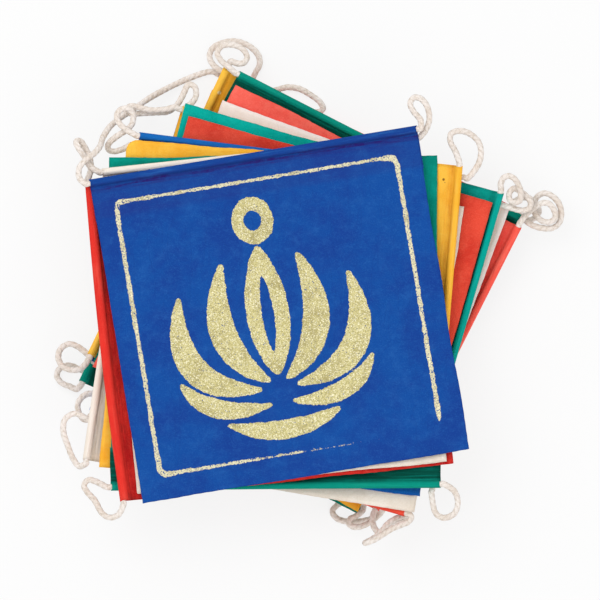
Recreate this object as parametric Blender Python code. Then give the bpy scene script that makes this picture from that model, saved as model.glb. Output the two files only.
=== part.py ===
"""A string of twenty prayer flags, gathered into one flat stack that fans out by turns.

Each flag is a square sheet with one edge folded over into a hem channel. One cotton cord runs through all the
hems, and between two hems it bulges out of the stack as a loop. The sheets are stacked from the lowest up: each
one settles on what lies under it. Metres, +Z up. The origin is on the table, near the middle of the stack.
"""

import math

import bmesh
import bpy
import numpy as np

MM = 0.001

# Driving dimensions, in millimetres.
SHEET = 1.0  # thickness of a flag
GAP = 0.35  # clearance between one flag and the next
HEM_WIDTH = 5.2  # width of the hem's channel
HEM_HEIGHT = 3.6  # height of the hem over the flag's underside
CORD = 3.0  # diameter of the cord
CORD_SPACING = 5.0  # from point to point along a stretch of cord
CELLS = 7  # a flag's surface bends along a grid of this many cells each way
STACK_REACH = 150.0  # half of the side of the square in which the heights are kept
STACK_STEP = 2.0  # spacing of the heights
EDGE_MARGIN = 1.5  # how far past its edges a flag still counts as being there
HEM_MARGIN = 1.0  # and its hem past the hem's own width

# How a flag settles on what is under it.
SAMPLES = 61  # points each way at which it feels for the stack
SAGGING_ROUNDS = 50
SAG = 0.06  # how far it sinks in each of those rounds
EVENING = 0.3  # how much of each bend such a round takes out
LIFT_SHARE = 0.6  # how much of each dip into the stack such a round lifts out
LIFTING_ROUNDS = 30

# A quarter turn for each side that the hem can be on.
HEM_SIDES = {"top": 0.0, "left": 90.0, "bottom": 180.0, "right": -90.0}

COLOURS = {
    "blue": (0.012, 0.085, 0.37),
    "white": (0.86, 0.76, 0.68),
    "red": (0.72, 0.03, 0.025),
    "green": (0.0, 0.33, 0.24),
    "yellow": (0.94, 0.50, 0.05),
}

# The flags from the lowest up: colour, side of the hem, centre x and y, length along the hem, depth, turn, and how
# far its other two edges are out of square, in degrees.
FLAGS = [
    ("yellow", "bottom", -4.9, 1.5, 153.0, 154.0, -24.0, 0.0),
    ("green", "left", -5.8, -1.7, 156.0, 153.4, -25.8, 0.0),
    ("red", "top", 2.3, 10.4, 155.0, 153.7, -25.5, 0.0),
    ("white", "right", 0.0, 4.0, 153.0, 153.0, -26.3, 0.0),
    ("blue", "bottom", 0.5, 3.5, 153.0, 154.0, -27.0, 0.0),
    ("yellow", "left", -5.0, 5.4, 154.7, 154.0, -25.4, -5.2),
    ("green", "top", 4.1, 6.1, 155.4, 160.0, -27.0, 0.0),
    ("red", "right", 3.9, 1.1, 154.7, 157.4, -26.8, 0.0),
    ("white", "bottom", 4.9, -3.1, 150.0, 160.0, -20.2, 0.0),
    ("blue", "left", -7.1, -2.9, 152.5, 155.2, -17.0, 0.0),
    ("yellow", "top", -0.5, -1.5, 162.5, 153.7, -16.6, 0.0),
    ("green", "right", 0.8, -1.0, 154.7, 162.4, -16.0, 0.0),
    ("red", "bottom", -2.0, -8.2, 154.3, 159.6, -16.0, 0.0),
    ("white", "left", -13.2, -15.9, 151.2, 164.7, -9.3, 0.0),
    ("blue", "top", -8.7, -6.6, 159.0, 159.5, -7.3, 0.0),
    ("yellow", "right", -8.7, -7.1, 158.0, 165.0, -4.8, 0.0),
    ("green", "bottom", -12.6, -11.5, 160.0, 163.0, 0.5, 0.0),
    ("red", "left", -15.6, -11.7, 154.6, 164.3, 6.35, 0.0),
    ("white", "top", -12.1, -6.8, 151.5, 160.3, 6.0, 0.0),
    ("blue", "top", -10.1, -6.7, 161.0, 160.8, 9.4, 0.0),
]

# Distance from the hem's edge and height over the underside, along the hem's rounded back.
HEM_PROFILE = [(0.0, 1.4), (0.8, 2.9), (2.6, HEM_HEIGHT), (4.4, 2.9), (HEM_WIDTH, 1.3)]


# The cord's stretches outside the hems, from its one end to the other: the middle of the cord, point by point.
ROUTES = {
    "cord_start": [
        (-102.6, 56.8, 49.2), (-104.4, 56.6, 49.2), (-107.4, 59.5, 49.0), (-107.4, 64.4, 49.2),
        (-103.9, 68.6, 49.0), (-100.0, 71.7, 46.5), (-97.4, 75.2, 41.0), (-96.1, 79.5, 34.0),
        (-92.7, 84.9, 27.0), (-86.9, 89.8, 20.0), (-80.5, 94.2, 13.0), (-73.2, 99.3, 8.0), (-63.4, 104.7, 4.0),
        (-53.7, 109.1, 1.9), (-45.9, 111.8, 1.8), (-42.0, 111.8, 1.8), (-39.0, 109.8, 1.8),
    ],
    "cord_20_19": [
        (57.0, 83.3, 46.7), (58.8, 83.6, 46.7), (58.6, 87.8, 46.5), (55.4, 91.7, 46.0), (53.7, 95.6, 45.5),
        (55.6, 98.6, 45.0), (59.3, 97.8, 44.5), (62.2, 93.7, 44.0), (63.0, 87.8, 43.5), (61.0, 82.5, 43.2),
        (57.3, 78.5, 42.5), (55.5, 78.3, 42.5),
    ],
    "cord_19_18": [
        (-95.9, 62.4, 45.2), (-97.7, 62.2, 45.2), (-102.5, 65.4, 45.1), (-105.4, 70.3, 45.2),
        (-108.3, 74.7, 45.6), (-109.0, 77.1, 44.1), (-107.1, 77.4, 42.0), (-104.7, 74.2, 41.3),
        (-102.3, 68.8, 41.9), (-102.0, 63.0, 43.2), (-103.5, 58.5, 43.8), (-103.3, 56.7, 43.8),
    ],
    "cord_18_17": [
        (-86.1, -97.7, 51.0), (-85.9, -99.5, 51.0), (-88.3, -104.4, 49.5), (-92.7, -105.9, 49.0),
        (-96.6, -103.5, 48.5), (-100.0, -97.6, 47.5), (-103.5, -93.7, 47.0), (-105.2, -90.3, 46.5),
        (-103.0, -87.6, 46.3), (-99.1, -88.6, 46.3), (-94.1, -91.1, 46.8), (-92.3, -91.1, 46.8),
    ],
    "cord_17_16": [
        (68.5, -89.7, 49.3), (70.3, -89.7, 49.3), (75.2, -93.2, 48.0), (76.9, -98.6, 47.0),
        (75.2, -103.9, 46.0), (70.3, -106.1, 45.2), (65.9, -103.5, 44.8), (64.1, -94.7, 44.5),
        (64.3, -92.9, 44.5),
    ],
    "cord_16_15": [
        (77.6, 65.3, 39.0), (77.7, 67.1, 39.0), (75.9, 72.2, 39.0), (73.4, 77.1, 38.5), (73.7, 81.0, 38.0),
        (77.6, 82.5, 37.5), (82.5, 81.3, 37.0), (87.1, 77.1, 36.5), (88.3, 71.2, 36.0), (86.6, 65.4, 35.6),
        (82.1, 59.5, 34.7), (80.4, 59.8, 34.7),
    ],
    "cord_15_14": [
        (-78.1, 80.1, 37.3), (-79.9, 80.3, 37.3), (-85.9, 83.9, 37.4), (-89.3, 88.3, 37.0),
        (-88.3, 92.2, 36.5), (-84.4, 93.5, 36.0), (-81.5, 90.8, 35.0), (-82.0, 85.9, 34.0),
        (-85.4, 82.5, 33.5), (-89.3, 80.0, 33.0), (-93.2, 76.6, 32.7), (-93.7, 73.7, 32.5),
        (-90.8, 72.5, 32.5), (-86.4, 73.7, 32.5), (-82.5, 75.6, 32.6), (-79.3, 73.8, 32.7),
        (-79.6, 72.0, 32.7),
    ],
    "cord_14_13": [
        (-104.2, -78.0, 40.9), (-104.5, -79.8, 40.9), (-107.8, -81.0, 39.6), (-110.8, -77.1, 39.0),
        (-113.2, -71.2, 38.0), (-115.4, -64.4, 37.0), (-114.7, -58.3, 36.2), (-109.8, -55.4, 35.8),
        (-103.9, -58.1, 35.7), (-99.6, -60.5, 36.2), (-97.8, -61.0, 36.2),
    ],
    "cord_13_12": [
        (51.3, -103.8, 37.6), (53.0, -104.3, 37.6), (54.3, -105.9, 37.0), (52.7, -108.3, 36.2),
        (48.8, -110.0, 35.4), (44.4, -111.9, 34.9), (40.0, -114.7, 34.6), (35.9, -117.1, 34.7),
        (32.9, -118.4, 34.0), (31.8, -118.6, 31.8), (33.2, -117.9, 29.6), (37.1, -115.6, 29.0),
        (40.3, -112.5, 29.3), (42.9, -109.3, 29.5), (46.4, -106.9, 30.0), (50.3, -105.4, 30.6),
        (53.4, -103.2, 31.4), (54.4, -99.1, 32.7), (54.9, -97.4, 32.7),
    ],
    "cord_12_11": [
        (97.8, 52.1, 29.7), (98.3, 53.8, 29.7), (98.0, 56.4, 30.6), (99.3, 59.5, 31.4), (102.0, 60.6, 31.8),
        (104.9, 59.0, 31.8), (106.9, 55.6, 31.6), (107.8, 52.2, 31.0), (107.4, 48.8, 30.0),
        (104.7, 47.6, 29.0), (102.3, 49.5, 28.3), (102.6, 52.9, 28.0), (104.9, 54.5, 28.0),
        (107.8, 52.9, 27.8), (110.8, 50.5, 27.4), (112.7, 47.6, 26.8), (111.8, 44.7, 26.0),
        (108.1, 43.8, 25.6), (103.7, 44.9, 25.4), (100.7, 45.8, 25.4), (99.0, 46.3, 25.4),
    ],
    "cord_11_10": [
        (-57.5, 93.0, 28.0), (-59.3, 93.5, 28.0), (-61.5, 94.2, 28.2), (-65.9, 93.1, 28.2),
        (-73.2, 92.8, 28.0), (-79.1, 94.2, 27.6), (-83.0, 94.7, 27.0), (-84.2, 92.5, 25.8),
        (-82.0, 90.8, 24.8), (-77.1, 91.3, 24.3), (-70.3, 91.7, 24.0), (-64.9, 92.0, 24.0),
        (-61.0, 94.4, 24.0), (-58.6, 97.6, 23.8), (-57.1, 100.5, 23.6), (-54.7, 105.2, 23.5),
        (-51.5, 104.2, 23.5), (-50.8, 100.0, 23.5), (-52.9, 96.4, 23.5), (-55.9, 94.1, 23.4),
        (-56.4, 92.3, 23.4),
    ],
    "cord_10_09": [
        (-101.2, -54.3, 28.6), (-101.8, -56.0, 28.6), (-104.9, -58.6, 27.4), (-107.8, -55.6, 26.4),
        (-108.6, -50.8, 25.0), (-105.4, -46.6, 24.0), (-100.5, -45.9, 23.3), (-94.3, -49.1, 23.7),
        (-92.6, -49.7, 23.7),
    ],
    "cord_09_08": [
        (48.9, -101.8, 25.3), (50.6, -102.4, 25.3), (51.5, -104.7, 25.2), (50.0, -107.4, 24.9),
        (46.4, -108.1, 24.6), (43.7, -110.0, 24.3), (42.0, -113.0, 23.9), (39.0, -113.9, 23.3),
        (36.6, -111.8, 22.6), (35.5, -108.3, 21.8), (35.7, -105.4, 21.3), (36.0, -104.2, 21.0),
        (36.8, -102.6, 21.0),
    ],
    "cord_08_07": [
        (106.9, 36.2, 19.8), (107.7, 37.8, 19.8), (110.8, 42.0, 20.3), (114.4, 44.9, 20.9),
        (118.1, 47.3, 21.0), (121.8, 47.1, 20.6), (124.4, 43.9, 20.0), (124.9, 40.3, 19.3),
        (122.2, 38.2, 18.6), (118.1, 38.9, 17.9), (115.2, 42.2, 17.3), (114.4, 46.6, 16.9),
        (116.1, 50.5, 16.7), (119.6, 52.3, 16.6), (123.2, 51.0, 16.5), (126.4, 47.8, 16.4),
        (127.9, 42.9, 16.4), (127.1, 38.1, 16.2), (123.7, 35.3, 16.1), (118.6, 35.2, 16.1),
        (113.7, 36.6, 16.1), (110.4, 38.8, 15.6), (108.8, 39.6, 15.6),
    ],
    "cord_07_06": [
        (-30.3, 110.5, 19.1), (-32.0, 111.3, 19.1), (-34.6, 113.7, 19.0), (-38.6, 117.1, 18.5),
        (-40.5, 121.0, 18.0), (-38.1, 124.4, 17.5), (-33.2, 125.0, 17.0), (-28.3, 123.0, 16.5),
        (-25.9, 119.1, 16.3), (-27.6, 116.1, 16.0), (-31.0, 115.9, 15.6), (-33.7, 116.9, 15.3),
        (-34.9, 115.1, 15.1), (-35.7, 113.5, 15.1),
    ],
    "cord_06_05": [
        (-102.4, -27.0, 17.7), (-103.2, -28.6, 17.7), (-106.4, -32.9, 16.6), (-110.8, -34.4, 15.6),
        (-115.7, -32.9, 14.4), (-118.3, -28.8, 13.4), (-117.4, -24.2, 12.8), (-113.2, -21.5, 12.6),
        (-108.3, -23.2, 12.9), (-103.4, -27.1, 13.2), (-101.8, -27.9, 13.2),
    ],
    "cord_05_04": [
        (35.2, -97.7, 13.4), (36.9, -98.5, 13.4), (38.6, -101.7, 13.0), (37.8, -105.7, 12.6),
        (33.7, -109.3, 11.8), (28.5, -111.2, 11.0), (24.5, -110.3, 10.4), (24.4, -107.5, 9.9),
        (27.6, -105.8, 9.4), (30.7, -103.2, 9.1), (31.4, -99.3, 9.0), (32.2, -97.7, 9.0),
    ],
    "cord_04_03": [
        (100.3, 40.2, 8.5), (101.1, 41.8, 8.5), (104.4, 47.3, 7.6), (108.3, 50.0, 6.6), (112.7, 49.8, 5.6),
        (116.1, 46.8, 4.8), (117.1, 42.9, 4.3), (114.4, 39.8, 4.2), (110.3, 39.5, 4.3), (106.2, 43.1, 4.5),
        (104.6, 43.9, 4.5),
    ],
    "cord_03_02": [
        (-36.0, 111.0, 7.4), (-37.7, 111.7, 7.4), (-42.0, 114.7, 5.5), (-44.4, 119.1, 3.5),
        (-42.9, 123.5, 2.2), (-38.1, 126.1, 1.8), (-31.7, 127.0, 1.8), (-25.4, 124.9, 1.8),
        (-20.7, 120.5, 1.8), (-19.8, 115.7, 1.8), (-22.0, 111.3, 1.8), (-23.2, 107.4, 1.8),
        (-21.0, 103.7, 1.8), (-16.1, 102.2, 1.8), (-11.2, 103.2, 1.8), (-5.9, 104.4, 1.8), (0.0, 103.5, 1.8),
        (5.4, 100.5, 1.7), (9.8, 97.1, 1.6), (11.2, 93.7, 1.6), (7.8, 92.0, 1.6), (1.5, 93.2, 1.6),
        (-4.9, 95.2, 1.6), (-14.6, 98.8, 1.8), (-24.4, 102.5, 1.8), (-30.7, 104.9, 1.9), (-34.6, 105.9, 2.4),
        (-37.6, 102.8, 3.1), (-38.4, 101.1, 3.1),
    ],
    "cord_02_01": [
        (-106.6, -40.0, 6.1), (-107.4, -41.7, 6.1), (-109.6, -43.7, 5.6), (-112.7, -42.5, 4.6),
        (-116.9, -40.7, 3.4), (-119.3, -37.1, 2.6), (-117.4, -33.2, 2.1), (-112.7, -32.2, 1.9),
        (-107.1, -34.5, 1.8), (-105.4, -35.2, 1.8),
    ],
    "cord_end": [
        (35.1, -97.7, 1.8), (36.7, -98.5, 1.8), (40.5, -102.2, 1.8), (38.1, -105.9, 1.8), (32.2, -108.1, 1.8),
        (24.4, -108.8, 1.8), (18.5, -107.4, 1.8), (15.9, -103.9, 1.8), (18.1, -100.8, 1.8), (21.5, -99.1, 1.8),
    ],
}
CORD_COLOUR = (0.80, 0.72, 0.63)


def hat_weights(places):
    """How much each of the CELLS + 1 grid lines counts at places from 0 to 1: straight lines between the lines."""
    lines = np.arange(CELLS + 1)
    return np.clip(1.0 - np.abs(np.asarray(places)[:, None] * CELLS - lines[None, :]), 0.0, 1.0)


class Flag:
    """One flag's place, and the heights of its underside on a grid of CELLS by CELLS cells.

    Along the flag, a runs from 0 to 1 on the hem and b from 0 at the hem's edge to 1 at the far edge.
    """

    def __init__(self, number, colour, side, x, y, length, depth, turn, skew):
        self.name = f"flag_{number:02d}_{colour}"
        self.colour = colour
        self.length = length
        self.depth = depth
        self.centre = np.array([x, y])
        angle = math.radians(turn + HEM_SIDES[side])
        self.along = np.array([math.cos(angle), math.sin(angle)])
        angle += math.radians(skew)
        self.down = np.array([math.sin(angle), -math.cos(angle)])
        self.heights = np.zeros((CELLS + 1, CELLS + 1))

    def place(self, a, b):
        """The x and y of points at a, b."""
        along = (np.asarray(a) - 0.5)[..., None] * self.length * self.along
        down = (np.asarray(b) - 0.5)[..., None] * self.depth * self.down
        return self.centre + along + down

    def local(self, x, y):
        """The a and b of points at x, y."""
        sides = np.stack([self.along * self.length, self.down * self.depth])
        offset = np.stack([x, y], axis=-1) - self.centre
        a, b = (offset @ np.linalg.inv(sides)).T
        return a + 0.5, b + 0.5

    def surface(self, a, b):
        """The underside's height at paired points a, b."""
        return np.einsum("ni,ij,nj->n", hat_weights(a), self.heights, hat_weights(b))


class Stack:
    """The height of everything laid down so far, on a square grid over the table."""

    def __init__(self):
        line = np.arange(-STACK_REACH, STACK_REACH + STACK_STEP, STACK_STEP)
        self.x, self.y = np.meshgrid(line, line, indexing="ij")
        self.top = np.zeros_like(self.x)

    def over(self, points):
        """The highest thing within about one step of each point."""
        spread = self.top.copy()
        for shift in ((1, 0), (-1, 0), (0, 1), (0, -1), (1, 1), (1, -1), (-1, 1), (-1, -1)):
            spread = np.maximum(spread, np.roll(self.top, shift, axis=(0, 1)))
        index = np.rint((points + STACK_REACH) / STACK_STEP).astype(int)
        return spread[index[..., 0], index[..., 1]]

    def add(self, flag):
        """Lays the flag's upper side over what is there."""
        a, b = flag.local(self.x.ravel(), self.y.ravel())
        margin = EDGE_MARGIN / flag.length
        inside = (np.abs(a - 0.5) < 0.5 + margin) & (np.abs(b - 0.5) < 0.5 + margin)
        a, b = np.clip(a[inside], 0, 1), np.clip(b[inside], 0, 1)
        thick = np.where(b * flag.depth < HEM_WIDTH + HEM_MARGIN, HEM_HEIGHT, SHEET)
        top = self.top.ravel()
        top[inside] = np.maximum(top[inside], flag.surface(a, b) + thick)


def settle(flag, stack):
    """Lets the flag sag like a slack sheet until it rests on the stack.

    The grid's heights are smoothed and lowered a little, then lifted wherever the sheet would cut into what is
    under it, over and over.
    """
    samples = np.linspace(0.0, 1.0, SAMPLES)
    a, b = np.meshgrid(samples, samples, indexing="ij")
    below = stack.over(flag.place(a, b)) + GAP
    weights = hat_weights(samples)
    power = (weights**2).sum(axis=1)
    grid = weights[:, None, :, None] * weights[None, :, None, :]
    share = grid / (power[:, None] * power[None, :])[:, :, None, None]

    def lift(heights):
        short = np.clip(below - weights @ heights @ weights.T, 0.0, None)
        return (short[:, :, None, None] * share).max(axis=(0, 1))

    heights = np.full((CELLS + 1, CELLS + 1), np.median(below))
    for _ in range(SAGGING_ROUNDS):
        edged = np.pad(heights, 1, mode="edge")
        mean = (edged[:-2, 1:-1] + edged[2:, 1:-1] + edged[1:-1, :-2] + edged[1:-1, 2:]) / 4
        heights = heights + EVENING * (mean - heights) - SAG
        heights = heights + LIFT_SHARE * lift(heights)
    for _ in range(LIFTING_ROUNDS):
        heights = heights + lift(heights)
    flag.heights = heights


def collection(name):
    found = bpy.data.collections.new(name)
    bpy.context.scene.collection.children.link(found)
    return found


def material(name, colour, roughness):
    made = bpy.data.materials.new(name)
    made.use_nodes = True
    shader = made.node_tree.nodes["Principled BSDF"]
    shader.inputs["Base Color"].default_value = (*colour, 1.0)
    shader.inputs["Roughness"].default_value = roughness
    shader.inputs["Metallic"].default_value = 0.0
    return made


def flag_object(flag, finish, home):
    """A grid of faces on the flag's underside, extruded up to the sheet's thickness and the hem's rounded back."""
    hem = np.array(HEM_PROFILE)
    lines_a = np.linspace(0.0, 1.0, CELLS + 1)
    lines_b = np.concatenate([hem[:, 0] / flag.depth, np.linspace(0.0, 1.0, CELLS + 1)[1:]])
    thickness = np.concatenate([hem[:, 1], np.full(CELLS, SHEET)])
    shape = bmesh.new()
    bmesh.ops.create_grid(shape, x_segments=len(lines_a) - 1, y_segments=len(lines_b) - 1, size=0.5)
    upper = shape.verts.layers.float.new("upper")
    for vertex in shape.verts:
        i = round((vertex.co.x + 0.5) * (len(lines_a) - 1))
        j = round((0.5 - vertex.co.y) * (len(lines_b) - 1))
        x, y = flag.place(lines_a[i], lines_b[j])
        z = flag.surface([lines_a[i]], [lines_b[j]])[0]
        vertex.co = (x * MM, y * MM, z * MM)
        vertex[upper] = thickness[j] * MM
    made = bmesh.ops.extrude_face_region(shape, geom=list(shape.faces), use_keep_orig=True)
    for vertex in made["geom"]:
        if isinstance(vertex, bmesh.types.BMVert):
            vertex.co.z += vertex[upper]
    bmesh.ops.recalc_face_normals(shape, faces=shape.faces)
    mesh = bpy.data.meshes.new(flag.name)
    shape.to_mesh(mesh)
    shape.free()
    mesh.materials.append(finish)
    home.objects.link(bpy.data.objects.new(flag.name, mesh))


def smooth_points(route, spacing):
    """Points at even spacing on a Catmull-Rom curve through the route, with its first and last stretches straight."""
    knots = np.array(route)
    t = np.linspace(0.0, 1.0, 12, endpoint=False)[:, None]
    pieces = [
        0.5 * (2 * b + (c - a) * t + (2 * a - 5 * b + 4 * c - d) * t**2 + (3 * b - a - 3 * c + d) * t**3)
        for a, b, c, d in zip(knots, knots[1:], knots[2:], knots[3:])
    ]
    curve = np.concatenate([*pieces, knots[-2:-1]])
    along = np.concatenate([[0.0], np.cumsum(np.linalg.norm(np.diff(curve, axis=0), axis=1))])
    places = np.linspace(0.0, along[-1], round(along[-1] / spacing) + 1)
    middle = np.stack([np.interp(places, along, curve[:, axis]) for axis in range(3)], axis=1)
    return np.concatenate([knots[:1], middle, knots[-1:]])


def cord_object(name, route, finish, home):
    """A tube along the route."""
    points = smooth_points(route, CORD_SPACING)
    curve = bpy.data.curves.new(name, "CURVE")
    curve.dimensions = "3D"
    curve.bevel_depth = CORD / 2 * MM
    curve.bevel_resolution = 2
    curve.use_fill_caps = True
    spline = curve.splines.new("POLY")
    spline.points.add(len(points) - 1)
    for point, place in zip(spline.points, points):
        point.co = (*(place * MM), 1.0)
    curve.materials.append(finish)
    home.objects.link(bpy.data.objects.new(name, curve))


def main():
    for old in list(bpy.data.objects):
        bpy.data.objects.remove(old, do_unlink=True)
    home = collection("prayer_flag_string")
    finishes = {name: material(f"{name} paper", colour, 0.9) for name, colour in COLOURS.items()}
    stack = Stack()
    for number, row in enumerate(FLAGS, start=1):
        flag = Flag(number, *row)
        if number > 1:
            settle(flag, stack)
        stack.add(flag)
        flag_object(flag, finishes[flag.colour], home)
    cotton = material("cotton cord", CORD_COLOUR, 0.85)
    for name, route in ROUTES.items():
        cord_object(name, route, cotton, home)


main()
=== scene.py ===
"""A string of twenty paper-cloth prayer flags, gathered into a flat stack that fans out by turns.

Each flag is one thin sheet that wraps round the cord at its hem and is turned back beneath itself. The cord is
threaded from hem to hem and bulges out between them in loops. The top flag carries a worn gold print.
Metres, +Z up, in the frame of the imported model.
"""

import math

import bpy
import numpy as np
from mathutils.bvhtree import BVHTree
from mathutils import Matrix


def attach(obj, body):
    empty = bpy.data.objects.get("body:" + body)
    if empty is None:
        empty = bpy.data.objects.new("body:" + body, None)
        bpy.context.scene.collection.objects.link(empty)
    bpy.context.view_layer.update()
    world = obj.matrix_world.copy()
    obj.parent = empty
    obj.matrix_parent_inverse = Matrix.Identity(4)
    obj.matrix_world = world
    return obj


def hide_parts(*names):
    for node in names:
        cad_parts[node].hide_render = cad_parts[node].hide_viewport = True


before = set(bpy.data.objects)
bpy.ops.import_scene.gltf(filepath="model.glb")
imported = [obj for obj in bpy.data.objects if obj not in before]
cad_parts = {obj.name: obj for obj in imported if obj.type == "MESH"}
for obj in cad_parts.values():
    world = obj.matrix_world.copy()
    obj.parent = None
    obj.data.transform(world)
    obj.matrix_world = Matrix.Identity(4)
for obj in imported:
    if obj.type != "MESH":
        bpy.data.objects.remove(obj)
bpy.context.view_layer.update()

MM = 0.001

# ---------------------------------------------------------------- sizes of the real thing, in millimetres
PAPER = 0.3  # thickness of the paper
HEM_PITCH = 2.6  # from the hem's outer edge to the middle of the cord inside it
HEM_RISE = 1.8  # from the flag's underside to the middle of the cord
HEM_BEND = 1.67  # radius of the paper's middle round the cord
FLAP = 22.0  # how far the turned-back edge reaches under the sheet
CORD = 3.0
CORD_LAY = 9.0  # one turn of the cord's strands
CORD_STRANDS = 3
CORD_TUCK = 2.6  # how far each stretch of cord is drawn on inside a hem

CELLS = 7  # the model's flags bend on a grid of this many cells
HEM_SIDES = {"top": 0.0, "left": 90.0, "bottom": 180.0, "right": -90.0}

# The flags from the lowest up: colour, side of the hem, centre x and y, length along the hem, depth, turn, and how
# far the other two edges are out of square.
FLAGS = [
    ("yellow", "bottom", -4.9, 1.5, 153.0, 154.0, -24.0, 0.0),
    ("green", "left", -5.8, -1.7, 156.0, 153.4, -25.8, 0.0),
    ("red", "top", 2.3, 10.4, 155.0, 153.7, -25.5, 0.0),
    ("white", "right", 0.0, 4.0, 153.0, 153.0, -26.3, 0.0),
    ("blue", "bottom", 0.5, 3.5, 153.0, 154.0, -27.0, 0.0),
    ("yellow", "left", -5.0, 5.4, 154.7, 154.0, -25.4, -5.2),
    ("green", "top", 4.1, 6.1, 155.4, 160.0, -27.0, 0.0),
    ("red", "right", 3.9, 1.1, 154.7, 157.4, -26.8, 0.0),
    ("white", "bottom", 4.9, -3.1, 150.0, 160.0, -20.2, 0.0),
    ("blue", "left", -7.1, -2.9, 152.5, 155.2, -17.0, 0.0),
    ("yellow", "top", -0.5, -1.5, 162.5, 153.7, -16.6, 0.0),
    ("green", "right", 0.8, -1.0, 154.7, 162.4, -16.0, 0.0),
    ("red", "bottom", -2.0, -8.2, 154.3, 159.6, -16.0, 0.0),
    ("white", "left", -13.2, -15.9, 151.2, 164.7, -9.3, 0.0),
    ("blue", "top", -8.7, -6.6, 159.0, 159.5, -7.3, 0.0),
    ("yellow", "right", -8.7, -7.1, 158.0, 165.0, -4.8, 0.0),
    ("green", "bottom", -12.6, -11.5, 160.0, 163.0, 0.5, 0.0),
    ("red", "left", -15.6, -11.7, 154.6, 164.3, 6.35, 0.0),
    ("white", "top", -12.1, -6.8, 151.5, 160.3, 6.0, 0.0),
    ("blue", "top", -10.1, -6.7, 161.0, 160.8, 9.4, 0.0),
]

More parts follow.
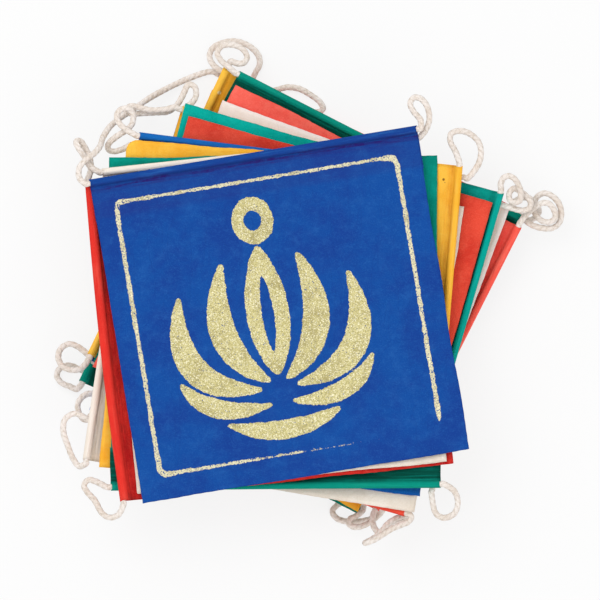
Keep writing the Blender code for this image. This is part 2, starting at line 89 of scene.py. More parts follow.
# The cord's stretches outside the hems: the middle of the cord, point by point.
ROUTES = {
    "cord_start": [
        (-102.6, 56.8, 49.2), (-104.4, 56.6, 49.2), (-107.4, 59.5, 49.0), (-107.4, 64.4, 49.2),
        (-103.9, 68.6, 49.0), (-100.0, 71.7, 46.5), (-97.4, 75.2, 41.0), (-96.1, 79.5, 34.0),
        (-92.7, 84.9, 27.0), (-86.9, 89.8, 20.0), (-80.5, 94.2, 13.0), (-73.2, 99.3, 8.0), (-63.4, 104.7, 4.0),
        (-53.7, 109.1, 1.9), (-45.9, 111.8, 1.8), (-42.0, 111.8, 1.8), (-39.0, 109.8, 1.8),
    ],
    "cord_20_19": [
        (57.0, 83.3, 46.7), (58.8, 83.6, 46.7), (58.6, 87.8, 46.5), (55.4, 91.7, 46.0), (53.7, 95.6, 45.5),
        (55.6, 98.6, 45.0), (59.3, 97.8, 44.5), (62.2, 93.7, 44.0), (63.0, 87.8, 43.5), (61.0, 82.5, 43.2),
        (57.3, 78.5, 42.5), (55.5, 78.3, 42.5),
    ],
    "cord_19_18": [
        (-95.9, 62.4, 45.2), (-97.7, 62.2, 45.2), (-102.5, 65.4, 45.1), (-105.4, 70.3, 45.2),
        (-108.3, 74.7, 45.6), (-109.0, 77.1, 44.1), (-107.1, 77.4, 42.0), (-104.7, 74.2, 41.3),
        (-102.3, 68.8, 41.9), (-102.0, 63.0, 43.2), (-103.5, 58.5, 43.8), (-103.3, 56.7, 43.8),
    ],
    "cord_18_17": [
        (-86.1, -97.7, 51.0), (-85.9, -99.5, 51.0), (-88.3, -104.4, 49.5), (-92.7, -105.9, 49.0),
        (-96.6, -103.5, 48.5), (-100.0, -97.6, 47.5), (-103.5, -93.7, 47.0), (-105.2, -90.3, 46.5),
        (-103.0, -87.6, 46.3), (-99.1, -88.6, 46.3), (-94.1, -91.1, 46.8), (-92.3, -91.1, 46.8),
    ],
    "cord_17_16": [
        (68.5, -89.7, 49.3), (70.3, -89.7, 49.3), (75.2, -93.2, 48.0), (76.9, -98.6, 47.0),
        (75.2, -103.9, 46.0), (70.3, -106.1, 45.2), (65.9, -103.5, 44.8), (64.1, -94.7, 44.5),
        (64.3, -92.9, 44.5),
    ],
    "cord_16_15": [
        (77.6, 65.3, 39.0), (77.7, 67.1, 39.0), (75.9, 72.2, 39.0), (73.4, 77.1, 38.5), (73.7, 81.0, 38.0),
        (77.6, 82.5, 37.5), (82.5, 81.3, 37.0), (87.1, 77.1, 36.5), (88.3, 71.2, 36.0), (86.6, 65.4, 35.6),
        (82.1, 59.5, 34.7), (80.4, 59.8, 34.7),
    ],
    "cord_15_14": [
        (-78.1, 80.1, 37.3), (-79.9, 80.3, 37.3), (-85.9, 83.9, 37.4), (-89.3, 88.3, 37.0),
        (-88.3, 92.2, 36.5), (-84.4, 93.5, 36.0), (-81.5, 90.8, 35.0), (-82.0, 85.9, 34.0),
        (-85.4, 82.5, 33.5), (-89.3, 80.0, 33.0), (-93.2, 76.6, 32.7), (-93.7, 73.7, 32.5),
        (-90.8, 72.5, 32.5), (-86.4, 73.7, 32.5), (-82.5, 75.6, 32.6), (-79.3, 73.8, 32.7),
        (-79.6, 72.0, 32.7),
    ],
    "cord_14_13": [
        (-104.2, -78.0, 40.9), (-104.5, -79.8, 40.9), (-107.8, -81.0, 39.6), (-110.8, -77.1, 39.0),
        (-113.2, -71.2, 38.0), (-115.4, -64.4, 37.0), (-114.7, -58.3, 36.2), (-109.8, -55.4, 35.8),
        (-103.9, -58.1, 35.7), (-99.6, -60.5, 36.2), (-97.8, -61.0, 36.2),
    ],
    "cord_13_12": [
        (51.3, -103.8, 37.6), (53.0, -104.3, 37.6), (54.3, -105.9, 37.0), (52.7, -108.3, 36.2),
        (48.8, -110.0, 35.4), (44.4, -111.9, 34.9), (40.0, -114.7, 34.6), (35.9, -117.1, 34.7),
        (32.9, -118.4, 34.0), (31.8, -118.6, 31.8), (33.2, -117.9, 29.6), (37.1, -115.6, 29.0),
        (40.3, -112.5, 29.3), (42.9, -109.3, 29.5), (46.4, -106.9, 30.0), (50.3, -105.4, 30.6),
        (53.4, -103.2, 31.4), (54.4, -99.1, 32.7), (54.9, -97.4, 32.7),
    ],
    "cord_12_11": [
        (97.8, 52.1, 29.7), (98.3, 53.8, 29.7), (98.0, 56.4, 30.6), (99.3, 59.5, 31.4), (102.0, 60.6, 31.8),
        (104.9, 59.0, 31.8), (106.9, 55.6, 31.6), (107.8, 52.2, 31.0), (107.4, 48.8, 30.0),
        (104.7, 47.6, 29.0), (102.3, 49.5, 28.3), (102.6, 52.9, 28.0), (104.9, 54.5, 28.0),
        (107.8, 52.9, 27.8), (110.8, 50.5, 27.4), (112.7, 47.6, 26.8), (111.8, 44.7, 26.0),
        (108.1, 43.8, 25.6), (103.7, 44.9, 25.4), (100.7, 45.8, 25.4), (99.0, 46.3, 25.4),
    ],
    "cord_11_10": [
        (-57.5, 93.0, 28.0), (-59.3, 93.5, 28.0), (-61.5, 94.2, 28.2), (-65.9, 93.1, 28.2),
        (-73.2, 92.8, 28.0), (-79.1, 94.2, 27.6), (-83.0, 94.7, 27.0), (-84.2, 92.5, 25.8),
        (-82.0, 90.8, 24.8), (-77.1, 91.3, 24.3), (-70.3, 91.7, 24.0), (-64.9, 92.0, 24.0),
        (-61.0, 94.4, 24.0), (-58.6, 97.6, 23.8), (-57.1, 100.5, 23.6), (-54.7, 105.2, 23.5),
        (-51.5, 104.2, 23.5), (-50.8, 100.0, 23.5), (-52.9, 96.4, 23.5), (-55.9, 94.1, 23.4),
        (-56.4, 92.3, 23.4),
    ],
    "cord_10_09": [
        (-101.2, -54.3, 28.6), (-101.8, -56.0, 28.6), (-104.9, -58.6, 27.4), (-107.8, -55.6, 26.4),
        (-108.6, -50.8, 25.0), (-105.4, -46.6, 24.0), (-100.5, -45.9, 23.3), (-94.3, -49.1, 23.7),
        (-92.6, -49.7, 23.7),
    ],
    "cord_09_08": [
        (48.9, -101.8, 25.3), (50.6, -102.4, 25.3), (51.5, -104.7, 25.2), (50.0, -107.4, 24.9),
        (46.4, -108.1, 24.6), (43.7, -110.0, 24.3), (42.0, -113.0, 23.9), (39.0, -113.9, 23.3),
        (36.6, -111.8, 22.6), (35.5, -108.3, 21.8), (35.7, -105.4, 21.3), (36.0, -104.2, 21.0),
        (36.8, -102.6, 21.0),
    ],
    "cord_08_07": [
        (106.9, 36.2, 19.8), (107.7, 37.8, 19.8), (110.8, 42.0, 20.3), (114.4, 44.9, 20.9),
        (118.1, 47.3, 21.0), (121.8, 47.1, 20.6), (124.4, 43.9, 20.0), (124.9, 40.3, 19.3),
        (122.2, 38.2, 18.6), (118.1, 38.9, 17.9), (115.2, 42.2, 17.3), (114.4, 46.6, 16.9),
        (116.1, 50.5, 16.7), (119.6, 52.3, 16.6), (123.2, 51.0, 16.5), (126.4, 47.8, 16.4),
        (127.9, 42.9, 16.4), (127.1, 38.1, 16.2), (123.7, 35.3, 16.1), (118.6, 35.2, 16.1),
        (113.7, 36.6, 16.1), (110.4, 38.8, 15.6), (108.8, 39.6, 15.6),
    ],
    "cord_07_06": [
        (-30.3, 110.5, 19.1), (-32.0, 111.3, 19.1), (-34.6, 113.7, 19.0), (-38.6, 117.1, 18.5),
        (-40.5, 121.0, 18.0), (-38.1, 124.4, 17.5), (-33.2, 125.0, 17.0), (-28.3, 123.0, 16.5),
        (-25.9, 119.1, 16.3), (-27.6, 116.1, 16.0), (-31.0, 115.9, 15.6), (-33.7, 116.9, 15.3),
        (-34.9, 115.1, 15.1), (-35.7, 113.5, 15.1),
    ],
    "cord_06_05": [
        (-102.4, -27.0, 17.7), (-103.2, -28.6, 17.7), (-106.4, -32.9, 16.6), (-110.8, -34.4, 15.6),
        (-115.7, -32.9, 14.4), (-118.3, -28.8, 13.4), (-117.4, -24.2, 12.8), (-113.2, -21.5, 12.6),
        (-108.3, -23.2, 12.9), (-103.4, -27.1, 13.2), (-101.8, -27.9, 13.2),
    ],
    "cord_05_04": [
        (35.2, -97.7, 13.4), (36.9, -98.5, 13.4), (38.6, -101.7, 13.0), (37.8, -105.7, 12.6),
        (33.7, -109.3, 11.8), (28.5, -111.2, 11.0), (24.5, -110.3, 10.4), (24.4, -107.5, 9.9),
        (27.6, -105.8, 9.4), (30.7, -103.2, 9.1), (31.4, -99.3, 9.0), (32.2, -97.7, 9.0),
    ],
    "cord_04_03": [
        (100.3, 40.2, 8.5), (101.1, 41.8, 8.5), (104.4, 47.3, 7.6), (108.3, 50.0, 6.6), (112.7, 49.8, 5.6),
        (116.1, 46.8, 4.8), (117.1, 42.9, 4.3), (114.4, 39.8, 4.2), (110.3, 39.5, 4.3), (106.2, 43.1, 4.5),
        (104.6, 43.9, 4.5),
    ],
    "cord_03_02": [
        (-36.0, 111.0, 7.4), (-37.7, 111.7, 7.4), (-42.0, 114.7, 5.5), (-44.4, 119.1, 3.5),
        (-42.9, 123.5, 2.2), (-38.1, 126.1, 1.8), (-31.7, 127.0, 1.8), (-25.4, 124.9, 1.8),
        (-20.7, 120.5, 1.8), (-19.8, 115.7, 1.8), (-22.0, 111.3, 1.8), (-23.2, 107.4, 1.8),
        (-21.0, 103.7, 1.8), (-16.1, 102.2, 1.8), (-11.2, 103.2, 1.8), (-5.9, 104.4, 1.8), (0.0, 103.5, 1.8),
        (5.4, 100.5, 1.7), (9.8, 97.1, 1.6), (11.2, 93.7, 1.6), (7.8, 92.0, 1.6), (1.5, 93.2, 1.6),
        (-4.9, 95.2, 1.6), (-14.6, 98.8, 1.8), (-24.4, 102.5, 1.8), (-30.7, 104.9, 1.9), (-34.6, 105.9, 2.4),
        (-37.6, 102.8, 3.1), (-38.4, 101.1, 3.1),
    ],
    "cord_02_01": [
        (-106.6, -40.0, 6.1), (-107.4, -41.7, 6.1), (-109.6, -43.7, 5.6), (-112.7, -42.5, 4.6),
        (-116.9, -40.7, 3.4), (-119.3, -37.1, 2.6), (-117.4, -33.2, 2.1), (-112.7, -32.2, 1.9),
        (-107.1, -34.5, 1.8), (-105.4, -35.2, 1.8),
    ],
    "cord_end": [
        (35.1, -97.7, 1.8), (36.7, -98.5, 1.8), (40.5, -102.2, 1.8), (38.1, -105.9, 1.8), (32.2, -108.1, 1.8),
        (24.4, -108.8, 1.8), (18.5, -107.4, 1.8), (15.9, -103.9, 1.8), (18.1, -100.8, 1.8), (21.5, -99.1, 1.8),
    ],
}


# ---------------------------------------------------------------- camera, floor and light
CAMERA_HEIGHT = 6.0
VIEW_WIDTH = 0.2928  # what the view spans at the height of the upper flags
VIEW_LEVEL = 0.035  # that height
SENSOR = 36.0
SURROUND = 0.64  # strength of the even white light from all round
# Name, place, side and power of each lamp.
LAMPS = (
    ("key", (-0.5, 0.6, 1.4), 1.2, 12.0),
    ("fill", (0.7, -0.9, 1.2), 1.4, 7.0),
)
FLOOR = -0.0004
FLOOR_REACH = 3.0
FLOOR_GREY = 0.15
FLOOR_GLOW = 0.80
WHITE = (1.0, 1.0, 1.0, 1.0)


def camera_and_light():
    """A long lens straight over the stack, an even white surround, and a broad lamp at far left and at near right."""
    lens = bpy.data.cameras.new("camera")
    lens.sensor_width = SENSOR
    lens.lens = SENSOR * (CAMERA_HEIGHT - VIEW_LEVEL) / VIEW_WIDTH
    camera = bpy.data.objects.new("camera", lens)
    camera.location = (0.0, 0.0, CAMERA_HEIGHT)
    bpy.context.scene.collection.objects.link(camera)
    bpy.context.scene.camera = camera
    bpy.context.scene.view_settings.view_transform = "Standard"

    world = bpy.data.worlds.new("surround")
    world.use_nodes = True
    background = world.node_tree.nodes["Background"]
    background.inputs["Color"].default_value = WHITE
    background.inputs["Strength"].default_value = SURROUND
    bpy.context.scene.world = world

    for name, place, size, power in LAMPS:
        lamp = bpy.data.lights.new(name, "AREA")
        lamp.size = size
        lamp.energy = power
        made = bpy.data.objects.new(name, lamp)
        made.location = place
        x, y, z = np.array(place) / np.linalg.norm(place)
        made.rotation_euler = (math.acos(z), 0.0, math.atan2(y, x) + math.pi / 2)
        bpy.context.scene.collection.objects.link(made)


def floor():
    """A pale sheet under everything, bright enough by itself to hold back the stack's shadow."""
    mesh = bpy.data.meshes.new("floor")
    corners = [(x * FLOOR_REACH, y * FLOOR_REACH, FLOOR) for x, y in ((-1, -1), (1, -1), (1, 1), (-1, 1))]
    mesh.from_pydata(corners, [], [(0, 1, 2, 3)])
    finish = bpy.data.materials.new("floor card")
    finish.use_nodes = True
    shader = finish.node_tree.nodes["Principled BSDF"]
    shader.inputs["Base Color"].default_value = (FLOOR_GREY, FLOOR_GREY, FLOOR_GREY, 1.0)
    shader.inputs["Roughness"].default_value = 0.9
    shader.inputs["Emission Color"].default_value = WHITE
    shader.inputs["Emission Strength"].default_value = FLOOR_GLOW
    mesh.materials.append(finish)
    made = bpy.data.objects.new("floor", mesh)
    bpy.context.scene.collection.objects.link(made)


# ---------------------------------------------------------------- meshes
def grid_faces(rows, columns, start=0, flip=False):
    """The four-cornered faces of a grid of points numbered row by row from start."""
    first = start + (np.arange(rows - 1)[:, None] * columns + np.arange(columns - 1)[None, :]).ravel()
    quads = np.stack([first, first + 1, first + columns + 1, first + columns], axis=1)
    return quads[:, ::-1] if flip else quads


def strip_faces(one, other):
    """The faces between two equal rows of point numbers."""
    return np.stack([one[:-1], one[1:], other[1:], other[:-1]], axis=1)


def mesh_object(name, points, faces, finish, uv=None, layers=()):
    """A smooth piece from points in millimetres and four-cornered faces, with its texture map and named layers."""
    mesh = bpy.data.meshes.new(name)
    mesh.vertices.add(len(points))
    mesh.vertices.foreach_set("co", (points * MM).astype(np.float32).ravel())
    mesh.loops.add(faces.size)
    mesh.loops.foreach_set("vertex_index", faces.astype(np.int32).ravel())
    mesh.polygons.add(len(faces))
    mesh.polygons.foreach_set("loop_start", np.arange(0, faces.size, 4, dtype=np.int32))
    mesh.update(calc_edges=True)
    mesh.validate()
    if uv is not None:
        uv_map = mesh.uv_layers.new(name="UVMap")
        uv_map.data.foreach_set("uv", uv[faces.ravel()].astype(np.float32).ravel())
    for layer, values in layers:
        point_values = mesh.attributes.new(layer, "FLOAT", "POINT")
        point_values.data.foreach_set("value", values.astype(np.float32).ravel())
    mesh.shade_smooth()
    mesh.materials.append(finish)
    made = bpy.data.objects.new(name, mesh)
    bpy.context.scene.collection.objects.link(made)
    return made


def unit(vectors):
    """The same directions at length 1."""
    return vectors / np.linalg.norm(vectors, axis=-1, keepdims=True)


CURVE_STEPS = 24  # points worked out between two knots


def lengths_along(line):
    """The distance of each point of a line from its start, measured along it."""
    return np.concatenate([[0.0], np.cumsum(np.linalg.norm(np.diff(line, axis=0), axis=1))])


def smooth_line(knots, spacing):
    """Evenly spaced points on a Catmull-Rom curve through the knots."""
    p = np.concatenate([2 * knots[:1] - knots[1:2], knots, 2 * knots[-1:] - knots[-2:-1]])
    t = np.linspace(0.0, 1.0, CURVE_STEPS, endpoint=False)[:, None]
    a, b, c, d = (p[i : len(p) - 3 + i, None, :] for i in range(4))
    curve = 0.5 * (2 * b + (c - a) * t + (2 * a - 5 * b + 4 * c - d) * t**2 + (3 * b - a - 3 * c + d) * t**3)
    curve = np.concatenate([curve.reshape(-1, knots.shape[1]), knots[-1:]])
    along = lengths_along(curve)
    places = np.linspace(0.0, along[-1], max(4, round(along[-1] / spacing) + 1))
    return np.stack([np.interp(places, along, curve[:, axis]) for axis in range(knots.shape[1])], axis=1)


def ripple(rng, x, y, waves, reach):
    """A gentle random unevenness from -1 to 1: a sum of plane waves with lengths round about reach."""
    total = np.zeros(np.broadcast(x, y).shape)
    for _ in range(waves):
        angle, phase = rng.uniform(0.0, 2 * np.pi, 2)
        length = reach * rng.uniform(0.6, 1.7)
        total += np.sin(2 * np.pi * (x * math.cos(angle) + y * math.sin(angle)) / length + phase)
    return total / waves


# ---------------------------------------------------------------- materials
def nodes_for(name):
    """A new material, its node tree and its shader."""
    made = bpy.data.materials.new(name)
    made.use_nodes = True
    return made, made.node_tree, made.node_tree.nodes["Principled BSDF"]


def dye(red, green, blue):
    """A colour given on the usual 0 to 255 scale, as the shader wants it."""
    share = np.array([red, green, blue]) / 255.0
    linear = np.where(share <= 0.04045, share / 12.92, ((share + 0.055) / 1.055) ** 2.4)
    return (*(float(v) for v in linear), 1.0)


def add(tree, kind, inputs=None, **settings):
    """A node with its settings, and each of its inputs given either a value or another node's output."""
    node = tree.nodes.new(kind)
    for key, value in settings.items():
        setattr(node, key, value)
    for key, value in (inputs or {}).items():
        if isinstance(value, bpy.types.NodeSocket):
            tree.links.new(value, node.inputs[key])
        else:
            node.inputs[key].default_value = value
    return node


def maths(tree, operation, first, second=0.0):
    return add(tree, "ShaderNodeMath", {0: first, 1: second}, operation=operation).outputs[0]


def plus(tree, first, second):
    return maths(tree, "ADD", first, second)


def minus(tree, first, second):
    return maths(tree, "SUBTRACT", first, second)


def times(tree, first, second):
    return maths(tree, "MULTIPLY", first, second)


def blend(tree, share, first, second):
    """The first colour where share is 0, and the second where it is 1."""
    return add(tree, "ShaderNodeMix", {0: share, 6: first, 7: second}, data_type="RGBA").outputs[2]


def span(tree, value, low, high, to_low=0.0, to_high=1.0):
    """A soft step from to_low, where the value is at low, to to_high, where it is at high."""
    inputs = {0: value, 1: low, 2: high, 3: to_low, 4: to_high}
    return add(tree, "ShaderNodeMapRange", inputs, interpolation_type="SMOOTHSTEP").outputs[0]


def attribute(tree, name):
    return add(tree, "ShaderNodeAttribute", attribute_name=name).outputs["Fac"]


def mapped(tree, coords, **inputs):
    """Coordinates moved, turned and stretched."""
    return add(tree, "ShaderNodeMapping", {"Vector": coords, **inputs}).outputs[0]


def noise(tree, coords, scale, detail, **inputs):
    """Cloudy noise about 0.5; the greater the scale, the finer."""
    return add(
        tree, "ShaderNodeTexNoise", {"Vector": coords, "Scale": scale, "Detail": detail, **inputs}
    ).outputs[0]


def fibre_lines(tree, coords, scale, width, stretch):
    """Thin wandering lines: where a stretched noise crosses its middle value."""
    turned = mapped(tree, coords, Scale=stretch, Rotation=(0.0, 0.0, scale))
    field = noise(tree, turned, scale, 1.5, Distortion=0.6)
    away = maths(tree, "ABSOLUTE", minus(tree, field, 0.5))
    return span(tree, away, 0.0, width, 1.0, 0.0)


PAPER_ROUGH = 0.92
GOLD_ROUGH = 0.42
GOLD_METAL = 0.18


def paper(name, lot, seed, crease_shadow_share, gold, spots):
    """Handmade fibre paper: cloudy dye, long pale and dark fibres and fine grain. The hem's tube has its own tint,
    partly the folded paper's tone and partly painted light, lighter on some lots and darker on others, with painted
    highlights streaked along it; a painted shadow of the raised hem lies in streaks along the crease below it, and
    the paper beyond is deeper as far as the turned-back edge reaches under it.
    """
    main, deep, pale, crease, hem, doubled = DYES[lot]
    made, tree, shader = nodes_for(name)
    source = add(tree, "ShaderNodeTexCoord")
    coords = mapped(tree, source.outputs["Object"], Location=(seed * 1.3, seed * 0.7, seed))
    cloud = noise(tree, coords, 38.0, 7.0, Roughness=0.62)
    patch = noise(tree, coords, 160.0, 4.0, Roughness=0.7)
    grain = noise(tree, coords, 1900.0, 2.0)
    long_fibres = fibre_lines(tree, coords, 95.0, 0.018, (1.0, 0.3, 1.0))
    short_fibres = fibre_lines(tree, coords, 310.0, 0.03, (0.45, 1.0, 1.0))
    drawn = mapped(tree, source.outputs["UV"], Location=(seed, 0.0, 0.0), Scale=(9.0, 130.0, 1.0))
    streak = noise(tree, drawn, 1.0, 4.0, Roughness=0.6)
    down = times(tree, add(tree, "ShaderNodeSeparateXYZ", {0: source.outputs["UV"]}).outputs[1], UV_SPAN)

    colour = blend(tree, span(tree, cloud, 0.37, 0.62), dye(*deep), dye(*main))
    colour = blend(tree, span(tree, patch, 0.45, 0.8, 0.0, 0.35), colour, dye(*pale))
    colour = blend(tree, span(tree, grain, 0.5, 0.72, 0.0, 0.3), colour, dye(*pale))
    colour = blend(tree, span(tree, grain, 0.5, 0.3, 0.0, 0.3), colour, dye(*deep))
    colour = blend(tree, times(tree, short_fibres, 0.14), colour, dye(*pale))
    colour = blend(tree, times(tree, long_fibres, 0.22), colour, dye(*deep))
    # down is the distance from the hem's edge in millimetres.
    under = times(tree, span(tree, down, 19.0, 22.5, 1.0, 0.0), span(tree, down, 4.8, 5.8))
    under = times(tree, under, span(tree, streak, 0.25, 0.6, 0.6, 1.0))
    colour = blend(tree, times(tree, under, doubled), colour, dye(*crease))
    # Painted light on the hem's tube, mixed with the folded paper's tone: the hem tint, lighter on some lots and
    # darker on others.
    painted_hem_light_zone = span(tree, down, 4.4, 5.4, 1.0, 0.0)
    colour = blend(tree, times(tree, painted_hem_light_zone, 0.65), colour, dye(*hem))
    # Painted highlights in streaks along the hem's tube.
    painted_hem_highlight = times(tree, painted_hem_light_zone, span(tree, streak, 0.48, 0.68, 0.0, 0.45))
    colour = blend(tree, painted_hem_highlight, colour, dye(*pale))
    # Painted shadow of the raised hem: a streaky dark stripe along the crease below it.
    painted_crease_shadow = span(tree, maths(tree, "ABSOLUTE", minus(tree, down, CREASE_AT)), 0.3, 3.1, 1.0, 0.0)
    painted_crease_shadow = times(tree, painted_crease_shadow, span(tree, streak, 0.38, 0.58, 0.1, 1.0))
    painted_crease_shadow = times(tree, painted_crease_shadow, span(tree, patch, 0.38, 0.6, 0.45, 1.0))
    colour = blend(tree, times(tree, painted_crease_shadow, crease_shadow_share), colour, dye(*crease))
    for x, y, radius, stain in spots:
        flat = mapped(tree, source.outputs["Object"], Scale=(1.0, 1.0, 0.0))
        away = add(
            tree, "ShaderNodeVectorMath", {0: flat, 1: (x * MM, y * MM, 0.0)}, operation="DISTANCE"
        ).outputs["Value"]
        rim = plus(tree, away, times(tree, patch, radius * MM))
        colour = blend(tree, span(tree, rim, radius * MM, radius * 1.6 * MM, 0.9, 0.0), colour, dye(*stain))

    height = plus(tree, times(tree, grain, 0.5), times(tree, short_fibres, 0.35))
    height = plus(tree, height, times(tree, long_fibres, 0.5))
    height = plus(tree, height, times(tree, patch, 0.9))
    height = plus(tree, height, times(tree, streak, span(tree, down, 6.0, 11.0, 5.5, 0.0)))
    if gold:
        colour, height, mask = gold_over(tree, coords, colour, height)
        tree.links.new(times(tree, mask, GOLD_METAL), shader.inputs["Metallic"])
        tree.links.new(span(tree, mask, 0.0, 1.0, PAPER_ROUGH, GOLD_ROUGH), shader.inputs["Roughness"])
    else:
        shader.inputs["Roughness"].default_value = PAPER_ROUGH
    tree.links.new(colour, shader.inputs["Base Color"])
    bump = add(tree, "ShaderNodeBump", {"Height": height, "Strength": 0.6, "Distance": 0.00022}).outputs[0]
    tree.links.new(bump, shader.inputs["Normal"])
    shader.inputs["Specular IOR Level"].default_value = 0.09
    return made


def gold_over(tree, coords, colour, height):
    """Worn gold ink where the print layer is above zero, with a ragged edge, a speckled face and painted glints on its
    brightest speckles. The frame is paler and more worn than the flower.
    """
    print_depth = attribute(tree, "print")
    ragged = noise(tree, coords, 900.0, 3.0, Roughness=0.7)
    worn = noise(tree, coords, 1500.0, 2.0)
    swell = noise(tree, coords, 240.0, 2.0)
    edge = plus(tree, print_depth, times(tree, minus(tree, ragged, 0.5), 1.4))
    edge = plus(tree, edge, times(tree, minus(tree, swell, 0.5), 1.3))
    mask = span(tree, edge, -0.08, 0.12)
    framing = attribute(tree, "frame")
    holes = span(tree, minus(tree, worn, times(tree, framing, 0.06)), 0.29, 0.35)
    mask = times(tree, mask, holes)
    cells = add(tree, "ShaderNodeTexVoronoi", {"Vector": coords, "Scale": 2500.0}).outputs["Color"]
    speckle = add(tree, "ShaderNodeSeparateColor", {0: cells}).outputs[0]
    tone = blend(tree, span(tree, speckle, 0.02, 0.5), dye(178, 168, 110), dye(212, 202, 144))
    tone = blend(tree, times(tree, framing, 0.6), tone, dye(226, 220, 196))
    thin = noise(tree, coords, 120.0, 5.0, Roughness=0.7)
    tone = blend(tree, span(tree, thin, 0.48, 0.66, 0.0, 0.55), tone, dye(160, 148, 98))
    # Painted glints: the brightest speckles made paler.
    tone = blend(tree, span(tree, speckle, 0.72, 0.9), tone, dye(240, 233, 196))
    raised = plus(tree, times(tree, speckle, 0.7), 0.6)
    height = plus(tree, height, times(tree, mask, raised))
    return blend(tree, mask, colour, tone), height, mask


def cotton(name):
    """Soft twisted cotton: pale, with painted shade in the grooves between the strands and on the underside, and fine
    fibres along them.
    """
    made, tree, shader = nodes_for(name)
    source = add(tree, "ShaderNodeTexCoord")
    coords = source.outputs["Object"]
    painted_groove_shade = attribute(tree, "painted_groove_shade")
    fibres = noise(tree, mapped(tree, source.outputs["UV"], Scale=(9.0, 1.6, 1.0)), 3.0, 4.0, Roughness=0.7)
    soil = noise(tree, coords, 90.0, 4.0)
    fleck = noise(tree, coords, 620.0, 4.0, Roughness=0.65)
    fluff = noise(tree, coords, 2600.0, 2.0)
    colour = blend(tree, span(tree, soil, 0.35, 0.7), dye(243, 234, 227), dye(229, 214, 201))
    colour = blend(tree, span(tree, fibres, 0.42, 0.68, 0.0, 0.7), colour, dye(252, 247, 242))
    colour = blend(tree, span(tree, fleck, 0.5, 0.66, 0.0, 0.6), colour, dye(204, 188, 168))
    # Painted shade in the grooves between the strands.
    colour = blend(tree, times(tree, painted_groove_shade, 0.45), colour, dye(186, 168, 150))
    # Painted shade on the cord's underside: darker the more the surface faces down.
    low = attribute(tree, "low")
    colour = blend(tree, span(tree, low, 0.24, 0.62, 0.0, 0.7), colour, dye(176, 158, 142))
    tree.links.new(colour, shader.inputs["Base Color"])
    height = plus(tree, times(tree, fibres, 1.2), times(tree, fluff, 0.6))
    bump = add(tree, "ShaderNodeBump", {"Height": height, "Strength": 0.7, "Distance": 0.0003}).outputs[0]
    tree.links.new(bump, shader.inputs["Normal"])
    shader.inputs["Roughness"].default_value = 0.92
    shader.inputs["Specular IOR Level"].default_value = 0.2
    shader.inputs["Sheen Weight"].default_value = 0.12
    return made


# ---------------------------------------------------------------- the cord
RING = 24  # points round the cord
RING_STEP = 0.45
STRAND_DENT = 0.15  # how much of the radius the cord loses between two strands
ROUNDED_END = 1.6  # over how many millimetres an end is rounded off
LEAST_SHARE = 0.0025  # of the radius squared, at the very end


def cord_stretch(name, node, route, finish, tail):
    """A stretch of twisted cord: rings along a smooth line, each a circle with a dent between every two strands.

    Round the ring the radius is the cord's own, less the dent where |cos(n (angle - turn) / 2)| is small, where n is
    the number of strands and turn grows by a full circle in each lay. The ends are rounded off. All but a tail's far
    end are drawn on into a hem.
    """
    knots = np.array(route)
    tuck = unit(knots[:1] - knots[1:2]) * CORD_TUCK
    knots = np.concatenate([knots[:1] + tuck, knots])
    if not tail:
        knots = np.concatenate([knots, knots[-1:] + unit(knots[-1:] - knots[-2:-1]) * CORD_TUCK])
    line = smooth_line(knots, RING_STEP)
    heading = unit(np.gradient(line, axis=0))
    side = unit(np.cross(heading, [0.0, 0.0, 1.0]))
    up = np.cross(side, heading)
    along = lengths_along(line)
    angle = np.linspace(0.0, 2 * np.pi, RING + 1)
    turn = 2 * np.pi * along[:, None] / CORD_LAY
    lobes = np.abs(np.cos(CORD_STRANDS * (angle[None, :] - turn) / 2))
    radius = CORD / 2 * (1.0 - STRAND_DENT + STRAND_DENT * lobes**0.6)
    radius *= 1.0 + 0.035 * np.sin(along / 3.1 + len(name))[:, None]
    close = np.minimum(along, along[-1] - along)[:, None]
    radius *= np.sqrt(np.clip(1.0 - np.clip(1.0 - close / ROUNDED_END, 0.0, 1.0) ** 2, LEAST_SHARE, 1.0))
    points = line[:, None, :] + radius[..., None] * (
        np.cos(angle)[None, :, None] * side[:, None, :] + np.sin(angle)[None, :, None] * up[:, None, :]
    )
    body = points[:, :-1].reshape(-1, 3)
    rows = len(line)
    ring = np.arange(RING)
    first = (np.arange(rows - 1)[:, None] * RING + ring[None, :]).ravel()
    after = (np.arange(rows - 1)[:, None] * RING + (ring[None, :] + 1) % RING).ravel()
    faces = np.stack([first, after, after + RING, first + RING], axis=1)
    half = RING // 2
    cap = np.stack([ring[: half - 1], ring[1:half], RING - 1 - ring[1:half], RING - 1 - ring[: half - 1]], axis=1)
    faces = np.concatenate([faces[:, ::-1], cap, cap[:, ::-1] + (rows - 1) * RING])
    # Painted shade on the cord's underside: 0 where the ring faces up, 1 where it faces down.
    shade = np.broadcast_to((1.0 - np.sin(angle[:-1])[None, :] * up[:, 2:3]) / 2, (rows, RING))
    uv = np.stack(
        [
            np.broadcast_to((angle[None, :-1] - turn) / (2 * np.pi), (rows, RING)),
            np.broadcast_to(along[:, None] / CORD_LAY, (rows, RING)),
        ],
        axis=-1,
    ).reshape(-1, 2)
    # Where the grooves between the strands lie, for the painted shade there.
    painted_groove_shade = np.clip(1.0 - lobes[:, :-1] / 0.5, 0.0, 1.0).ravel()
    piece = mesh_object(name, body, faces, finish, uv, [("painted_groove_shade", painted_groove_shade), ("low", shade.ravel())])
    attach(piece, "root")
    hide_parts(node)


